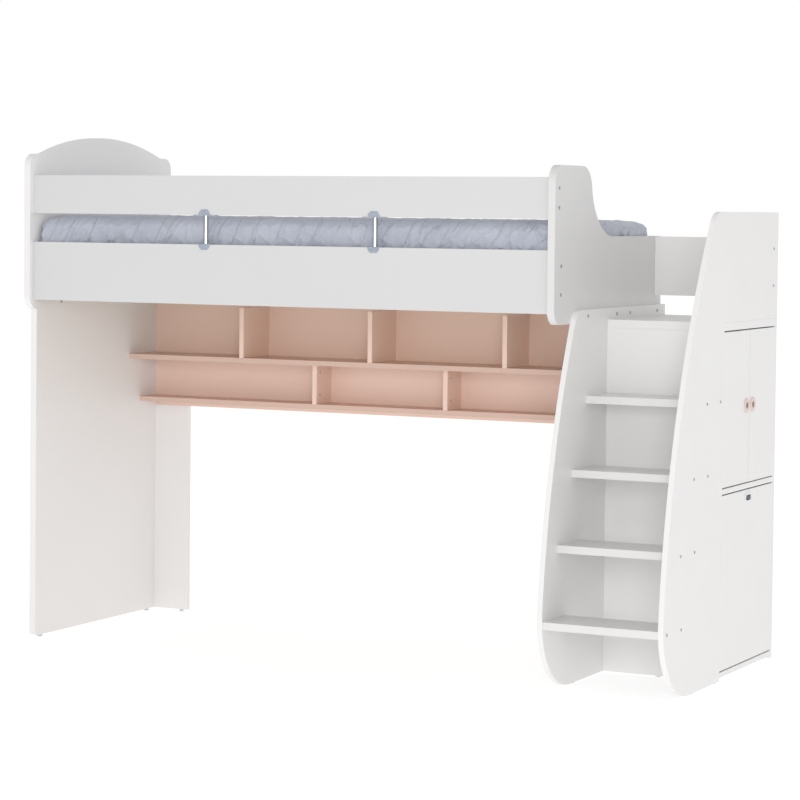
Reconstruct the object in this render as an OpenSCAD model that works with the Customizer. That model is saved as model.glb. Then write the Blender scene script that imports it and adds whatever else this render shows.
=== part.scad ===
// Loft bed with a guard rail, a hanging shelf unit under it and a step cabinet at its foot end.
// Millimetres, Z up, X along the bed, Y from front to back.
// The origin is at the centre of the bounding box's underside.

/* [Bed] */
// length between the two ends
bed_l = 2000; // [1500:10:2300]
// clear width between the side rails
clear_w = 900; // [700:10:1200]
// thickness of ends, rails and guards
board_t = 25; // [20:1:32]
// height of the ends' undersides above the floor
end_z = 1188; // [1050:1:1400]
// rails start this much above the ends' undersides
rail_rise = 35; // [10:1:80]
// height of the side rails
rail_h = 208; // [150:1:260]
// open height between front rail and guard rail
guard_gap = 101.5; // [60:0.5:140]
// height of the guard rail
guard_h = 136; // [90:1:200]
// ends stand this far in front of the rails
front_reveal = 20; // [5:1:40]
// ends stand this far behind the rear rail
back_reveal = 8; // [5:1:40]

/* [Headboard] */
// height of the headboard's shoulders above its underside
head_h = 557; // [400:1:700]
// rise of the arch above the shoulders
arch_h = 67; // [30:1:120]
// width of the arch where it meets the shoulders
arch_w = 816; // [500:1:860]
// radius of the blend between arch and shoulder
arch_blend_r = 80; // [20:1:120]
// radius of the upper corners
head_top_r = 45; // [10:1:80]
// radius of the lower corners
end_low_r = 50; // [10:1:80]

/* [Footboard] */
// height of the high part above the underside
foot_h = 520; // [400:1:650]
// height of the low part above the underside
foot_low_h = 286; // [220:1:350]
// width of the high part's flat top, measured from the front edge
foot_high_w = 237; // [120:1:400]
// radius of the rounded step
foot_round_r = 80; // [40:1:120]
// radius of the hollow sweep below it
foot_sweep_r = 200; // [120:1:300]
// radius of the front upper corner
foot_top_r = 55; // [10:1:80]
// radius of the rear corners
foot_back_r = 15; // [5:1:30]

/* [Bed base] */
// length of each corner block along the rail
block_l = 20; // [20:1:60]
// thickness of blocks and battens
block_t = 20; // [15:1:30]
// height of the corner blocks
block_h = 180; // [120:1:190]
// height of a slat batten
batten_h = 30; // [20:1:50]
// slats lie this far above the rail's lower edge
slat_rise = 81; // [60:1:120]
// number of slats
slat_count = 14; // [8:1:20]
// width of a slat
slat_w = 70; // [50:1:100]
// thickness of a slat
slat_t = 18; // [12:1:25]
// thickness of the mattress
mattress_h = 201.5; // [100:0.5:220]
// radius of the mattress's corners
mattress_r = 50; // [30:1:52]

/* [Leg and shelf unit] */
// thickness of thin panels
panel_t = 18; // [15:1:22]
// leg panel starts this far behind the rail's front face
leg_front = 26; // [10:1:80]
// leg and shelf unit end this far in front of the ends' rear edge
leg_back = 83; // [40:1:160]
// leg panel's height above the floor, filled by its glides
leg_lift = 9; // [4:1:15]
// width of the leg's return panel
return_w = 147; // [80:1:240]
// height of the shelf unit's back panel
shelf_h = 392; // [300:1:450]
// height of the upper shelf's underside above the back panel's lower edge
upper_z = 187; // [150:1:240]
// height of the lower shelf's underside above the back panel's lower edge
lower_z = 21; // [5:1:60]
// left face of the first upper divider from the leg panel
divider_first = 479; // [300:1:600]
// distance from one upper divider to the next
divider_pitch = 533.5; // [400:0.5:620]
// depth of the upper shelf
upper_d = 199; // [140:1:280]
// depth of the lower shelf
lower_d = 119; // [80:1:180]

/* [Step cabinet] */
// inner width between the two step panels
step_w = 395; // [330:1:480]
// depth of the cabinet from its rear edge to the front wall
cabinet_d = 552; // [450:1:640]
// panels' height above the floor, filled by glides
foot_gap = 3; // [2:0.5:8]
// top of the landing above the floor
landing_z = 1195; // [1050:1:1400]
// thickness of the landing
landing_t = 28; // [22:1:36]
// left panel's top above the ends' undersides
left_rise = 45; // [40:1:70]
// top of the tall right panel above the floor
tall_z = 1561; // [1300:1:1700]
// top of the first tread
first_tread = 238; // [180:0.5:280]
// rise from tread to tread
tread_rise = 236.5; // [190:0.5:260]
// run from tread to tread
tread_go = 115.3; // [80:0.1:160]
// depth of a tread
tread_d = 185; // [140:1:240]
// thickness of a tread
tread_t = 25; // [18:1:32]
// radius of the panels' curved front edge
front_r = 2850; // [2400:10:4000]
// foremost point of that curve, before its foot is rounded
front_y = -140; // [-200:1:-60]
// radius at the foot of the curved edge
foot_r = 240; // [100:1:300]
// radius at the top of the left panel
left_top_r = 55; // [20:1:90]
// radius at the top of the tall panel
tall_top_r = 80; // [20:1:120]
// top of the middle board above the floor
middle_z = 642; // [500:1:800]
// underside of the bottom board above the floor
bottom_z = 13; // [5:1:60]
// underside of the inner shelf above the floor
inner_z = 900; // [760:1:1000]
// height of the guard behind the landing
landing_guard_h = 207; // [120:1:260]
// landing guard's height above the landing
landing_guard_up = 70; // [40:1:120]
// landing guard's distance from the cabinet's rear edge
landing_guard_in = 34; // [5:1:60]

/* [Doors] */
// gap at each side of a door
side_gap = 2; // [1:0.5:4]
// gap above and below a door
edge_gap = 4; // [2:0.5:6]
// gap between the two upper doors
middle_gap = 2.5; // [2:0.5:6]
// outer diameter of a ring pull
pull_d = 50; // [35:1:70]
// diameter of a ring pull's hollow
pull_hole_d = 23; // [16:1:35]
// height of the ring pulls above the floor
pull_z = 908; // [800:1:1050]
// distance of a ring pull from its door's free edge
pull_in = 30; // [27:0.5:60]
// width of the flap's pull
flap_pull_w = 70; // [50:1:110]
// height of the flap's pull
flap_pull_h = 33; // [24:1:45]
// flap pull's centre below the flap's top edge
flap_pull_in = 27; // [22:1:60]
// diameter of a hinge cup
cup_d = 35; // [26:1:40]
// depth of a hinge cup
cup_depth = 12; // [8:0.5:13]
// hinge cup's centre from the hinged edge
cup_in = 22; // [20:0.5:30]

/* [Fittings] */
// distance between the two guard brackets
bracket_span = 654; // [300:1:1200]
// brackets' shared centre from the headboard's inner face
bracket_mid = 1033; // [700:1:1300]
// diameter of a bracket's tube
tube_d = 15; // [10:1:20]
// thickness of a bracket's plates
plate_t = 2; // [1.5:0.5:4]
// diameter of a bolt head
bolt_head_d = 12; // [8:1:18]
// diameter of a bolt's shank
bolt_d = 6; // [4:0.5:8]
// diameter of a screw head
screw_head_d = 10; // [7:1:14]
// diameter of a screw's shank
screw_d = 5; // [3:0.5:7]
// clearance around shanks, cups and pulls, on the diameter
hole_clear = 0.6; // [0.3:0.1:1.2]

/* [Hidden] */
$fn = 64;
eps = 1;
nudge = 0.03;
bolt_head_t = 2;
pull_t = 4;

white_c = [0.93, 0.93, 0.93];
pink_c = [0.80, 0.69, 0.63];
steel_c = [0.62, 0.64, 0.68];
slat_c = [0.83, 0.72, 0.55];
sheet_c = [0.72, 0.74, 0.80];
grey_c = [0.55, 0.56, 0.58];
brown_c = [0.42, 0.30, 0.24];

end_y = -front_reveal;
rear_rail_y = board_t + clear_w;
end_back = rear_rail_y + board_t + back_reveal;
rail_z = end_z + rail_rise;
rail_top = rail_z + rail_h;
guard_z = rail_top + guard_gap;
foot_x = bed_l;
step_x = bed_l + board_t;
step_in = step_x + panel_t;
tall_x = step_in + step_w;
out_x = tall_x + panel_t;
cabinet_y = end_back - cabinet_d;
joint_y = cabinet_y + 2;
back_in = end_back - panel_t;

curve_y = front_y + front_r;
curve_z = 5;
foot_cy = curve_y - sqrt(pow(front_r - foot_r, 2) - pow(foot_gap + foot_r - curve_z, 2));
mid_x = (out_x + pull_t - board_t - bolt_head_t) / 2;
mid_y = (end_back + foot_cy - foot_r) / 2;

arch_y = (end_y + end_back) / 2;
arch_r = (pow(arch_w / 2, 2) + pow(arch_h, 2)) / (2 * arch_h);
shoulder_z = end_z + head_h;
arch_cz = shoulder_z + arch_h - arch_r;
blend_cz = shoulder_z + arch_blend_r;
blend_dy = sqrt(pow(arch_r + arch_blend_r, 2) - pow(blend_cz - arch_cz, 2));
touch_k = arch_r / (arch_r + arch_blend_r);
touch_dy = blend_dy * touch_k;
touch_z = arch_cz + (blend_cz - arch_cz) * touch_k;
blend_turn = 90 - atan2(blend_cz - touch_z, touch_dy - blend_dy);

round_y = end_y + foot_high_w;
round_z = end_z + foot_h - foot_round_r;
low_z = end_z + foot_low_h;
sweep_z = low_z + foot_sweep_r;
sweep_y = round_y + sqrt(pow(foot_round_r + foot_sweep_r, 2) - pow(sweep_z - round_z, 2));

slat_z = rail_z + slat_rise;
block_z = rail_z + 17;
front_block_y = board_t;
rear_block_y = rear_rail_y - block_t;
mattress_z = slat_z + slat_t + 0.5;
mattress_x = 8;
mattress_y = board_t + 5;
mattress_back = rear_rail_y - 5;

leg_y1 = end_back - leg_back;
shelf_y = leg_y1 - panel_t;
shelf_z = end_z - shelf_h;
upper_shelf_z = shelf_z + upper_z;
lower_shelf_z = shelf_z + lower_z;
upper_y = shelf_y - upper_d;
lower_y = shelf_y - lower_d;

landing_low = landing_z - landing_t;
middle_low = middle_z - panel_t;
bottom_top = bottom_z + panel_t;
left_top = end_z + left_rise;
door_y0 = joint_y + side_gap;
door_y1 = back_in - side_gap;
door_mid = (door_y0 + door_y1) / 2;
door_z0 = middle_z + edge_gap;
door_z1 = landing_low - edge_gap;
flap_z0 = bottom_top + edge_gap;
flap_z1 = middle_low - edge_gap;
front_pull_y = door_mid - middle_gap / 2 - pull_in;
rear_pull_y = door_mid + middle_gap / 2 + pull_in;
flap_pull_z = flap_z1 - flap_pull_in;
pull_depth = 10;
pull_wall = 1.5;
cup_zs = [door_z0 + 90, door_z1 - 90];
flap_cup_ys = [door_y0 + 90, door_y1 - 90];

bolt_in = 16;
guard_mid_y = board_t / 2;
bolt_spots = [
  [guard_mid_y, guard_z + 0.74 * guard_h],
  [guard_mid_y, guard_z + 0.27 * guard_h],
  [front_block_y + block_t / 2, rail_z + 0.75 * rail_h],
  [front_block_y + block_t / 2, rail_z + 0.3 * rail_h],
  [rear_block_y + block_t / 2, rail_z + 0.75 * rail_h],
  [rear_block_y + block_t / 2, rail_z + 0.3 * rail_h]
];
step_bolt_z = end_z + 24;
step_bolt_ys = [for (k = [0.255, 0.521, 0.649, 0.916]) end_y + k * (end_back - end_y)];
tread_fronts = [for (i = [0:3]) cabinet_y - tread_d - (3 - i) * tread_go];
tread_tops = [for (i = [0:3]) first_tread + i * tread_rise];
tread_screw_in = 27.5;
landing_guard_y = end_back - landing_guard_in - board_t;
landing_guard_z = landing_z + landing_guard_up;
landing_guard_mid = landing_guard_y + board_t / 2;
landing_screw_zs = [landing_guard_z + 42, landing_guard_z + landing_guard_h - 37];
shelf_spots = [
  [upper_y + upper_d / 2, upper_shelf_z + panel_t / 2],
  [lower_y + lower_d / 2, lower_shelf_z + panel_t / 2],
  [shelf_y + panel_t / 2, end_z - 90]
];
return_spots = [
  [shelf_y + panel_t / 2, shelf_z - 190],
  [shelf_y + panel_t / 2, leg_lift + 190]
];
upper_div_xs = [for (i = [0:2]) divider_first + i * divider_pitch];
lower_div_xs = [for (i = [1:2]) (upper_div_xs[i - 1] + upper_div_xs[i]) / 2];
cam_y = lower_y + 27;
cam_zs = [lower_shelf_z + panel_t + 34, upper_shelf_z - 32];
head_cam_zs = end_z + 25;
head_cam_ys = [arch_y - 283, arch_y, arch_y + 283];
pin_xs = [step_in + 60, tall_x - 60];
pin_in = 8;
bracket_xs = [bracket_mid - bracket_span / 2, bracket_mid + bracket_span / 2];
low_glide_d = 16;
tall_glide_d = 18;

// Moves a piece drawn from the headboard's inner face to the shared origin.
module placed() {
  translate([-mid_x, -mid_y, 0]) children();
}

// A box from one corner to the opposite one.
module block(a, b) {
  translate(a) cube(b - a);
}

// A round bar along X, from x towards +X.
module bar_x(x, y, z, l, d) {
  translate([x, y, z]) rotate([0, 90, 0]) cylinder(h = l, d = d);
}

// A round bar along Y, from y towards +Y.
module bar_y(x, y, z, l, d) {
  translate([x, y, z]) rotate([-90, 0, 0]) cylinder(h = l, d = d);
}

// A board cut from a side outline and t thick along X.
module board_x(x, t) {
  translate([x, 0, 0]) rotate([90, 0, 90]) linear_extrude(height = t) children();
}

// The waste outside a rounded square corner; turn 0 is the corner at low y and low z.
module corner_waste(y, z, r, turn) {
  translate([y, z]) rotate(turn) difference() {
    translate([-eps, -eps]) square(r + eps);
    translate([r, r]) circle(r = r, $fn = 96);
  }
}

// The waste outside a round that blends the curved front into a level edge; up is 1 or -1.
module curve_waste(r, cz, up) {
  cy = curve_y - sqrt(pow(front_r - r + nudge, 2) - pow(cz - curve_z, 2));
  k = (front_r + 60) / (front_r - r);
  difference() {
    polygon([
      [cy, cz],
      [cy, cz + up * (r + 60)],
      [cy - r - 160, cz + up * (r + 60)],
      [curve_y + (cy - curve_y) * k, curve_z + (cz - curve_z) * k]
    ]);
    translate([cy, cz]) circle(r = r, $fn = 180);
  }
}

// Outline of a step panel with its curved front, up to a level top.
module step_outline(top, back, top_r) {
  difference() {
    intersection() {
      translate([curve_y, curve_z]) circle(r = front_r, $fn = 360);
      translate([front_y - 60, foot_gap]) square([back - front_y + 60, top - foot_gap]);
    }
    curve_waste(foot_r, foot_gap + foot_r, -1);
    curve_waste(top_r, top - top_r, 1);
  }
}

// A point on the blend between shoulder and arch, from the shoulder (0) to the arch (12).
function blend_point(s, k) = [
  arch_y + s * (blend_dy + arch_blend_r * cos(-90 + k * blend_turn / 12)),
  blend_cz + arch_blend_r * sin(-90 + k * blend_turn / 12)
];

module head_outline() {
  difference() {
    union() {
      translate([end_y, end_z]) square([end_back - end_y, head_h]);
      intersection() {
        translate([arch_y, arch_cz]) circle(r = arch_r, $fn = 360);
        translate([arch_y - arch_w / 2 - 15, shoulder_z - 20]) square([arch_w + 30, arch_h + 40]);
      }
      polygon(concat(
        [[arch_y - blend_dy - 12, shoulder_z - 12], [arch_y + blend_dy + 12, shoulder_z - 12]],
        [for (k = [0:12]) blend_point(1, k)],
        [for (k = [12:-1:0]) blend_point(-1, k)]
      ));
    }
    corner_waste(end_y, end_z, end_low_r, 0);
    corner_waste(end_back, end_z, end_low_r, 90);
    corner_waste(end_back, shoulder_z, head_top_r, 180);
    corner_waste(end_y, shoulder_z, head_top_r, 270);
  }
}

module foot_outline() {
  difference() {
    union() {
      translate([end_y, end_z]) square([foot_high_w, foot_h]);
      translate([round_y, round_z]) circle(r = foot_round_r, $fn = 180);
      difference() {
        polygon([
          [round_y - eps, end_z],
          [sweep_y + eps, end_z],
          [sweep_y + eps, sweep_z],
          [sweep_y, sweep_z],
          [round_y, round_z],
          [round_y - eps, round_z]
        ]);
        translate([sweep_y, sweep_z]) circle(r = foot_sweep_r, $fn = 180);
      }
      translate([sweep_y, end_z]) square([end_back - sweep_y, foot_low_h]);
    }
    corner_waste(end_y, end_z, end_low_r, 0);
    corner_waste(end_back, end_z, foot_back_r, 90);
    corner_waste(end_back, low_z, foot_back_r, 180);
    corner_waste(end_y, end_z + foot_h, foot_top_r, 270);
  }
}

module headboard() {
  color(white_c) placed() difference() {
    board_x(-board_t, board_t) head_outline();
    for (p = bolt_spots) bar_x(-board_t - eps, p[0], p[1], board_t + 2 * eps, bolt_d + hole_clear);
    for (y = head_cam_ys) bar_x(-14, y, head_cam_zs, 14 + eps, screw_d + hole_clear);
  }
}

module footboard() {
  color(white_c) placed() difference() {
    board_x(foot_x, board_t) foot_outline();
    for (p = bolt_spots) bar_x(foot_x - eps, p[0], p[1], board_t + 2 * eps, bolt_d + hole_clear);
    for (y = step_bolt_ys) bar_x(foot_x + 4, y, step_bolt_z, board_t, bolt_d + hole_clear);
    for (z = landing_screw_zs) bar_x(step_x - 16, landing_guard_mid, z, 16 + eps, 8 + hole_clear);
  }
}

module front_side_rail() {
  color(white_c) placed() block([0, 0, rail_z], [bed_l, board_t, rail_top]);
}

module rear_side_rail() {
  color(white_c) placed() block([0, rear_rail_y, rail_z], [bed_l, rear_rail_y + board_t, rail_top]);
}

module guard_rail() {
  color(white_c) placed() difference() {
    block([0, 0, guard_z], [bed_l, board_t, guard_z + guard_h]);
    for (i = [0, 1]) {
      bar_x(-eps, bolt_spots[i][0], bolt_spots[i][1], bolt_in + 4, bolt_d + hole_clear);
      bar_x(bed_l - bolt_in - 3, bolt_spots[i][0], bolt_spots[i][1], bolt_in + 4, bolt_d + hole_clear);
    }
  }
}

module bracket_tubes() {
  color(steel_c) placed() for (x = bracket_xs) {
    translate([x, guard_mid_y, rail_top + plate_t]) cylinder(h = guard_gap - 2 * plate_t, d = tube_d);
  }
}

module bracket_tab(z, up) {
  translate([0, 0, z]) rotate([90, 0, 0]) linear_extrude(height = plate_t) intersection() {
    circle(r = 22, $fn = 96);
    translate([-22, up > 0 ? 0 : -19]) square([44, 19]);
  }
}

module bracket_plates() {
  color(steel_c) placed() for (x = bracket_xs) translate([x, 0, 0]) {
    block([-30, -plate_t, rail_top], [30, board_t - 2, rail_top + plate_t]);
    bracket_tab(rail_top, -1);
    block([-42, -plate_t, guard_z - plate_t], [42, board_t - 2, guard_z]);
    bracket_tab(guard_z, 1);
  }
}

module corner_blocks() {
  color(slat_c) placed() difference() {
    for (x = [0, bed_l - block_l]) for (y = [front_block_y, rear_block_y]) {
      block([x, y, block_z], [x + block_l, y + block_t, block_z + block_h]);
    }
    for (i = [2:5]) {
      bar_x(-eps, bolt_spots[i][0], bolt_spots[i][1], bolt_in + 4, bolt_d + hole_clear);
      bar_x(bed_l - bolt_in - 3, bolt_spots[i][0], bolt_spots[i][1], bolt_in + 4, bolt_d + hole_clear);
    }
  }
}

module slat_battens() {
  color(slat_c) placed() for (y = [front_block_y, rear_block_y]) {
    block([block_l, y, slat_z - batten_h], [bed_l - block_l, y + block_t, slat_z]);
  }
}

module slats() {
  pitch = (bed_l - 2 * block_l - slat_w - 8) / (slat_count - 1);
  color(slat_c) placed() for (i = [0:slat_count - 1]) {
    block([block_l + 4 + i * pitch, board_t + 1, slat_z],
      [block_l + 4 + i * pitch + slat_w, rear_rail_y - 1, slat_z + slat_t]);
  }
}

module mattress() {
  r = mattress_r;
  l = bed_l - 2 * mattress_x;
  w = mattress_back - mattress_y;
  color(sheet_c) placed() translate([mattress_x, mattress_y, mattress_z])
    linear_extrude(height = mattress_h) difference() {
      square([l, w]);
      corner_waste(0, 0, r, 0);
      corner_waste(l, 0, r, 90);
      corner_waste(l, w, r, 180);
      corner_waste(0, w, r, 270);
    }
}

module leg_panel() {
  color(white_c) placed() difference() {
    board_x(-board_t, board_t) difference() {
      translate([leg_front, leg_lift]) square([leg_y1 - leg_front, end_z - leg_lift]);
      corner_waste(leg_front, leg_lift, 12, 0);
    }
    for (p = concat(shelf_spots, return_spots)) {
      bar_x(-board_t - eps, p[0], p[1], board_t + 2 * eps, screw_d + hole_clear);
    }
  }
}

module leg_return_panel() {
  color(white_c) placed() difference() {
    block([0, shelf_y, leg_lift], [return_w, leg_y1, shelf_z]);
    for (p = return_spots) bar_x(-eps, p[0], p[1], 30, screw_d + hole_clear);
  }
}

// Screw holes in both ends of one board of the shelf unit.
module shelf_end_holes(i) {
  bar_x(-eps, shelf_spots[i][0], shelf_spots[i][1], 30, screw_d + hole_clear);
  bar_x(step_x - 30 + eps, shelf_spots[i][0], shelf_spots[i][1], 30, screw_d + hole_clear);
}

module shelf_back() {
  color(pink_c) placed() difference() {
    block([0, shelf_y, shelf_z], [step_x, leg_y1, end_z]);
    shelf_end_holes(2);
  }
}

module upper_shelf() {
  color(pink_c) placed() difference() {
    block([0, upper_y, upper_shelf_z], [step_x, shelf_y, upper_shelf_z + panel_t]);
    shelf_end_holes(0);
  }
}

module lower_shelf() {
  color(pink_c) placed() difference() {
    block([0, lower_y, lower_shelf_z], [step_x, shelf_y, lower_shelf_z + panel_t]);
    shelf_end_holes(1);
  }
}

module upper_divider(i) {
  color(pink_c) placed() block([upper_div_xs[i], upper_y, upper_shelf_z + panel_t],
    [upper_div_xs[i] + panel_t, shelf_y, end_z]);
}

module lower_divider(i) {
  color(pink_c) placed() difference() {
    block([lower_div_xs[i], lower_y, lower_shelf_z + panel_t],
      [lower_div_xs[i] + panel_t, shelf_y, upper_shelf_z]);
    for (z = cam_zs) bar_x(lower_div_xs[i] + 6, cam_y, z, panel_t, screw_d + hole_clear);
  }
}

module step_left_panel() {
  color(white_c) placed() difference() {
    board_x(step_x, panel_t) step_outline(left_top, end_back, left_top_r);
    for (y = step_bolt_ys) bar_x(step_x - eps, y, step_bolt_z, panel_t + 2 * eps, bolt_d + hole_clear);
    tread_screw_holes(step_x);
    for (p = shelf_spots) bar_x(step_x - eps, p[0], p[1], panel_t + 2 * eps, screw_d + hole_clear);
  }
}

// The through holes for the tread screws in a panel whose left face is at x.
module tread_screw_holes(x) {
  for (i = [0:3]) for (d = [tread_screw_in, tread_d - tread_screw_in]) {
    bar_x(x - eps, tread_fronts[i] + d, tread_tops[i] - tread_t / 2,
      panel_t + 2 * eps, screw_d + hole_clear);
  }
}

module tall_front_board() {
  color(white_c) placed() difference() {
    board_x(tall_x, panel_t) step_outline(tall_z, joint_y, tall_top_r);
    tread_screw_holes(tall_x);
  }
}

module upper_rear_board() {
  color(white_c) placed() difference() {
    board_x(tall_x, panel_t) difference() {
      translate([joint_y, landing_z]) square([end_back - joint_y, tall_z - landing_z]);
      corner_waste(end_back, tall_z, 10, 180);
    }
    for (z = landing_screw_zs) {
      bar_x(tall_x - eps, landing_guard_mid, z, panel_t + 2 * eps, screw_d + hole_clear);
    }
  }
}

module tread(i) {
  color(white_c) placed() difference() {
    block([step_in, tread_fronts[i], tread_tops[i] - tread_t],
      [tall_x, tread_fronts[i] + tread_d, tread_tops[i]]);
    for (d = [tread_screw_in, tread_d - tread_screw_in]) {
      bar_x(step_in - eps, tread_fronts[i] + d, tread_tops[i] - tread_t / 2, 30, screw_d + hole_clear);
      bar_x(tall_x - 29, tread_fronts[i] + d, tread_tops[i] - tread_t / 2, 30, screw_d + hole_clear);
    }
  }
}

module landing_board() {
  color(white_c) placed() union() {
    block([step_in, cabinet_y, landing_low], [tall_x, end_back, landing_z]);
    block([tall_x - eps, joint_y, landing_low], [out_x, end_back, landing_z]);
  }
}

module landing_guard() {
  color(white_c) placed() difference() {
    block([step_x, landing_guard_y, landing_guard_z],
      [tall_x, landing_guard_y + board_t, landing_guard_z + landing_guard_h]);
    for (z = landing_screw_zs) {
      bar_x(tall_x - 36, landing_guard_mid, z, 36 + eps, screw_d + hole_clear);
      bar_x(step_x - eps, landing_guard_mid, z, 17, 8 + hole_clear);
    }
    for (i = [4, 5]) {
      bar_x(step_x - eps, bolt_spots[i][0], bolt_spots[i][1],
        bolt_head_t + 1 + eps, bolt_head_d + hole_clear);
    }
  }
}

module cabinet_front_wall() {
  color(white_c) placed() difference() {
    block([step_in, cabinet_y, foot_gap], [tall_x - 2, cabinet_y + panel_t, landing_low]);
    for (x = pin_xs) {
      bar_y(x, cabinet_y + panel_t - pin_in, inner_z - screw_d / 2, pin_in + eps, screw_d + hole_clear);
    }
  }
}

module cabinet_back() {
  color(white_c) placed() difference() {
    block([step_in, back_in, foot_gap], [out_x, end_back, landing_low]);
    for (x = pin_xs) bar_y(x, back_in - eps, inner_z - screw_d / 2, pin_in + eps, screw_d + hole_clear);
  }
}

// A level board between wall and back, with an edge strip that reaches the tall board.
module strip_board(z) {
  union() {
    block([step_in, cabinet_y + panel_t, z], [out_x, back_in, z + panel_t]);
    block([tall_x - 2, joint_y, z], [out_x, cabinet_y + panel_t + eps, z + panel_t]);
  }
}

module middle_board() {
  color(white_c) placed() strip_board(middle_low);
}

module bottom_board() {
  color(white_c) placed() strip_board(bottom_z);
}

module inner_shelf() {
  color(white_c) placed() block([step_in + 3, cabinet_y + panel_t + 1, inner_z],
    [tall_x - 25, back_in - 1, inner_z + panel_t]);
}

module shelf_pins() {
  color(steel_c) placed() for (x = pin_xs) {
    bar_y(x, cabinet_y + panel_t - pin_in, inner_z - screw_d / 2, 2 * pin_in, screw_d);
    bar_y(x, back_in - pin_in, inner_z - screw_d / 2, 2 * pin_in, screw_d);
  }
}

module hinge_arms() {
  wall_y = cabinet_y + panel_t;
  color(steel_c) placed() union() {
    for (z = cup_zs) {
      block([tall_x - 70, wall_y, z - 22], [tall_x - 30, wall_y + 2, z + 22]);
      block([tall_x - 66, wall_y + 1, z - 7], [tall_x - 6, wall_y + 12, z + 7]);
      block([tall_x - 70, back_in - 2, z - 22], [tall_x - 30, back_in, z + 22]);
      block([tall_x - 66, back_in - 12, z - 7], [tall_x - 6, back_in - 1, z + 7]);
    }
    for (y = flap_cup_ys) {
      block([tall_x - 70, y - 22, bottom_top], [tall_x - 30, y + 22, bottom_top + 2]);
      block([tall_x - 66, y - 7, bottom_top + 1], [tall_x - 6, y + 7, bottom_top + 12]);
    }
  }
}

module door_catches() {
  color(grey_c) placed() for (z = [landing_low, middle_low]) {
    block([tall_x - 26, door_mid - 24, z - 12], [tall_x - 1, door_mid + 24, z]);
  }
}

// The blind hole for a ring pull's cup, from the door's outer face.
module ring_hole(y) {
  bar_x(out_x - pull_depth - 0.5, y, pull_z, pull_depth + 2, pull_hole_d + 2 * pull_wall + hole_clear);
}

// A hinge cup's blind hole in a door's inner face.
module cup_hole(y, z) {
  bar_x(tall_x - eps, y, z, cup_depth + eps + 0.3, cup_d + hole_clear);
}

module upper_front_door() {
  color(white_c) placed() difference() {
    block([tall_x, door_y0, door_z0], [out_x, door_mid - middle_gap / 2, door_z1]);
    ring_hole(front_pull_y);
    for (z = cup_zs) cup_hole(door_y0 + cup_in, z);
  }
}

module upper_rear_door() {
  color(white_c) placed() difference() {
    block([tall_x, door_mid + middle_gap / 2, door_z0], [out_x, door_y1, door_z1]);
    ring_hole(rear_pull_y);
    for (z = cup_zs) cup_hole(door_y1 - cup_in, z);
  }
}

// A slot outline with round ends, w wide and h high, lying along the board's width.
module slot(w, h) {
  union() {
    square([w - h, h], center = true);
    for (s = [-1, 1]) translate([s * (w - h) / 2, 0]) circle(d = h);
  }
}

module lower_flap() {
  grow = hole_clear + 2 * pull_wall;
  color(white_c) placed() difference() {
    block([tall_x, door_y0, flap_z0], [out_x, door_y1, flap_z1]);
    translate([0, door_mid, flap_pull_z]) board_x(out_x - pull_depth - 0.5, pull_depth + 2)
      slot(flap_pull_w - 14 + grow, flap_pull_h - 14 + grow);
    for (y = flap_cup_ys) cup_hole(y, flap_z0 + cup_in);
  }
}

module pull_ring(y) {
  color(pink_c) placed() translate([out_x, y, pull_z]) rotate([0, 90, 0]) difference() {
    union() {
      cylinder(h = 2, d = pull_d);
      cylinder(h = pull_t, d = pull_d - 4);
      translate([0, 0, 2]) rotate_extrude() translate([pull_d / 2 - 2, 0]) circle(r = 2, $fn = 32);
    }
    translate([0, 0, -5]) cylinder(h = 5, d = pull_d + 2);
    translate([0, 0, -eps]) cylinder(h = 6, d = pull_hole_d);
  }
}

module pull_cup(y) {
  color(brown_c) placed() difference() {
    bar_x(out_x - pull_depth, y, pull_z, pull_depth, pull_hole_d + 2 * pull_wall);
    bar_x(out_x - pull_depth + pull_wall, y, pull_z, pull_depth, pull_hole_d);
  }
}

module flap_pull_rim() {
  color(white_c) placed() translate([0, door_mid, flap_pull_z]) difference() {
    board_x(out_x, 3) slot(flap_pull_w, flap_pull_h);
    board_x(out_x - eps, 5) slot(flap_pull_w - 14, flap_pull_h - 14);
  }
}

module flap_pull_cup() {
  color(grey_c) placed() translate([0, door_mid, flap_pull_z]) difference() {
    board_x(out_x - pull_depth, pull_depth)
      slot(flap_pull_w - 14 + 2 * pull_wall, flap_pull_h - 14 + 2 * pull_wall);
    board_x(out_x - pull_depth + pull_wall, pull_depth) slot(flap_pull_w - 14, flap_pull_h - 14);
  }
}

// A hinge cup with its thin rim on the door's inner face.
module hinge_cup(y, z) {
  union() {
    bar_x(tall_x, y, z, cup_depth, cup_d);
    bar_x(tall_x - 1.2, y, z, 1.2, cup_d + 5);
  }
}

module front_door_cups() {
  color(steel_c) placed() for (z = cup_zs) hinge_cup(door_y0 + cup_in, z);
}

module rear_door_cups() {
  color(steel_c) placed() for (z = cup_zs) hinge_cup(door_y1 - cup_in, z);
}

module flap_cups() {
  color(steel_c) placed() for (y = flap_cup_ys) hinge_cup(y, flap_z0 + cup_in);
}

// A bolt or screw whose head lies on the face at x; the shank runs towards -X.
module bolt_left(x, y, z, l, d, head_d) {
  union() {
    bar_x(x, y, z, bolt_head_t, head_d);
    bar_x(x - l, y, z, l, d);
  }
}

// The same with the shank running towards +X.
module bolt_right(x, y, z, l, d, head_d) {
  union() {
    bar_x(x - bolt_head_t, y, z, bolt_head_t, head_d);
    bar_x(x, y, z, l, d);
  }
}

module frame_bolts() {
  color(steel_c) placed() for (p = bolt_spots) {
    bolt_left(step_x, p[0], p[1], board_t + bolt_in, bolt_d, bolt_head_d);
    bolt_right(-board_t, p[0], p[1], board_t + bolt_in, bolt_d, bolt_head_d);
  }
}

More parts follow.
